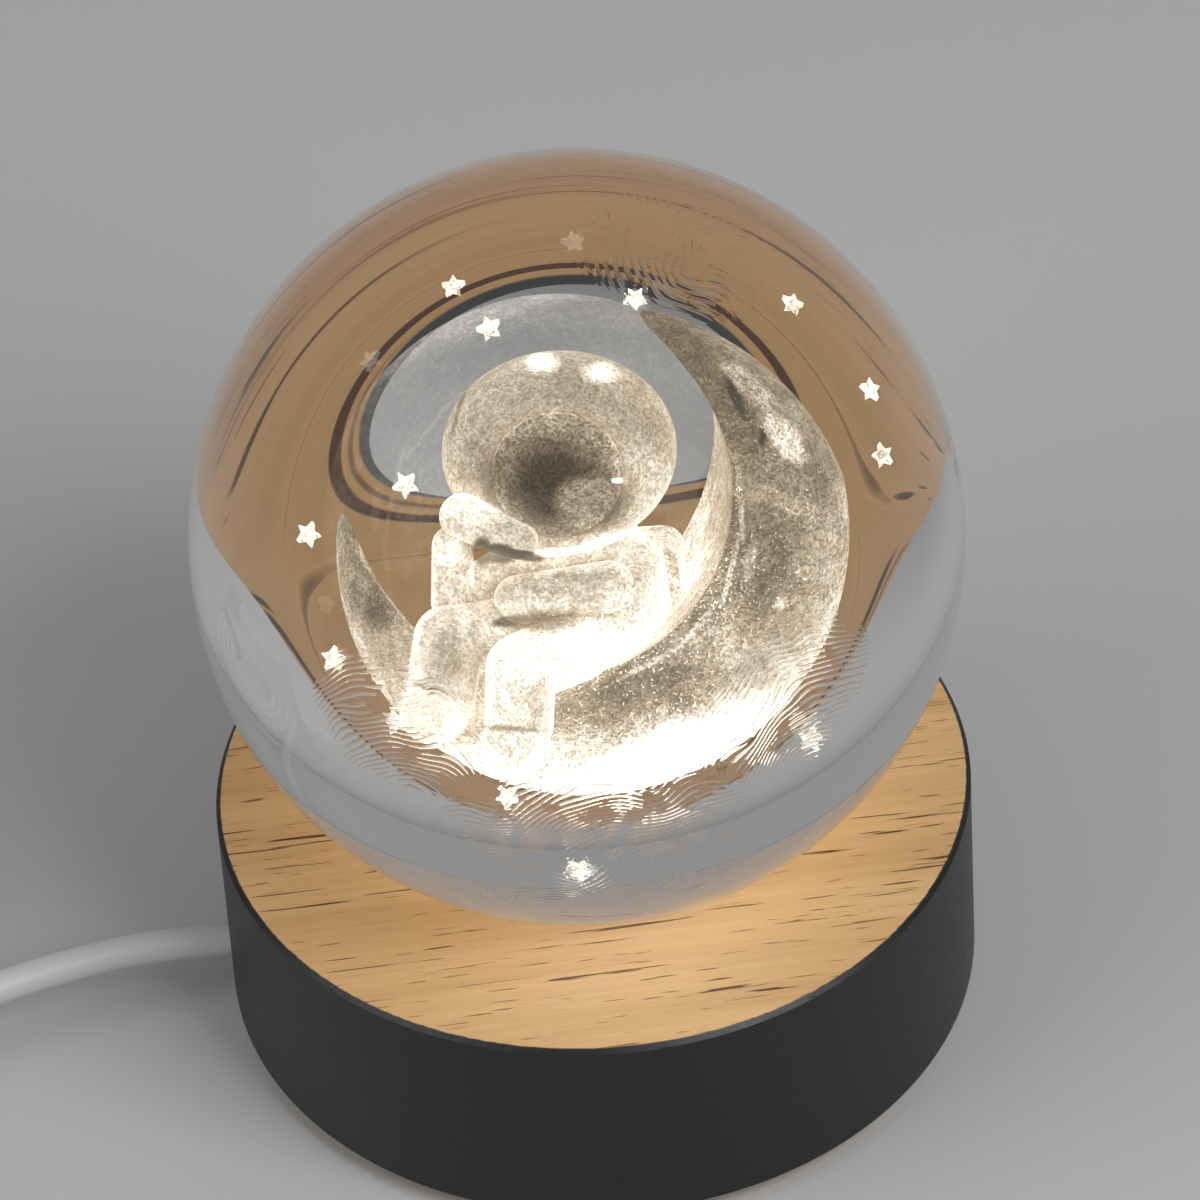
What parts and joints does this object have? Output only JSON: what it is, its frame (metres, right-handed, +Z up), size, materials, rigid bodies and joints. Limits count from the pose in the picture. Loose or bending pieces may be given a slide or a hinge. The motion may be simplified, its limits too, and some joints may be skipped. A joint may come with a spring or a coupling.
{
  "type": "crystal ball night light",
  "caption": "Clear crystal ball with an engraved astronaut on a crescent moon, lit from a round wooden base by LEDs and fed by a USB cord with an in-line switch.",
  "frame": {"origin": "on the floor, under the centre of the base and the ball", "axes": "+Z up, -Y towards the viewer, the cord leaves along -X"},
  "size_m": [0.1568, 0.0665, 0.076],
  "materials": {
    "crystal": "clear polished crystal",
    "laser_frost": "cloud of tiny laser cracks inside the crystal, lit warm white",
    "wood": "pale fine-grained wood with a clear satin top and a black-stained side",
    "clear_acrylic": "clear acrylic",
    "board": "white solder mask",
    "led": "yellow phosphor over a white package",
    "black_plastic": "fine moulded texture",
    "solder": "smooth solder",
    "steel": "zinc plated",
    "red_insulation": "smooth insulation",
    "black_insulation": "smooth insulation",
    "nylon": "natural nylon",
    "rubber": "soft stick-on foot",
    "cord_pvc": "light grey PVC jacket",
    "white_plastic": "white moulded plastic",
    "brass": "stamped brass",
    "plated_steel": "nickel-plated sheet",
    "tongue_plastic": "white moulded plastic"
  },
  "bodies": {
    "base": {"wood_base": "wood", "light_window": "clear_acrylic", "led_board": "board", "leds": "led", "resistors": "black_plastic", "solder_joints": "solder", "board_screws": "steel", "wire_red": "red_insulation", "wire_black": "black_insulation", "cord_inner_end": "cord_pvc", "cord_stop_tie": "nylon", "bottom_cover": "black_plastic", "cover_screws": "steel", "rubber_feet": "rubber", "cord_lead": "cord_pvc", "cord_coil": "cord_pvc", "coil_tie": "black_plastic", "cord_tail": "cord_pvc", "cord_end": "cord_pvc", "switch_top_shell": "white_plastic", "switch_bottom_shell": "white_plastic", "switch_terminals": "brass", "switch_screws": "steel", "usb_plug_body": "white_plastic", "usb_plug_shell": "plated_steel", "usb_plug_tongue": "tongue_plastic", "usb_plug_contacts": "brass"},
    "ball": {"crystal_ball": "crystal", "engraved_moon": "laser_frost", "engraved_helmet": "laser_frost", "engraved_visor": "laser_frost", "engraved_suit": "laser_frost", "engraved_backpack": "laser_frost", "engraved_stars": "laser_frost"},
    "rocker": {"switch_rocker": "white_plastic", "switch_bridge": "brass"}
  },
  "joints": [
    {"name": "ball_lift", "type": "slide", "parent": "base", "child": "ball", "axis": [0, 0, 1], "range_m": [0, 0.04]},
    {"name": "switch_rocker", "type": "hinge", "parent": "base", "child": "rocker", "pos_m": [-0.085, -0.0285, 0.0086], "axis": [0, -1, 0], "range_deg": [0, 18]}
  ]
}
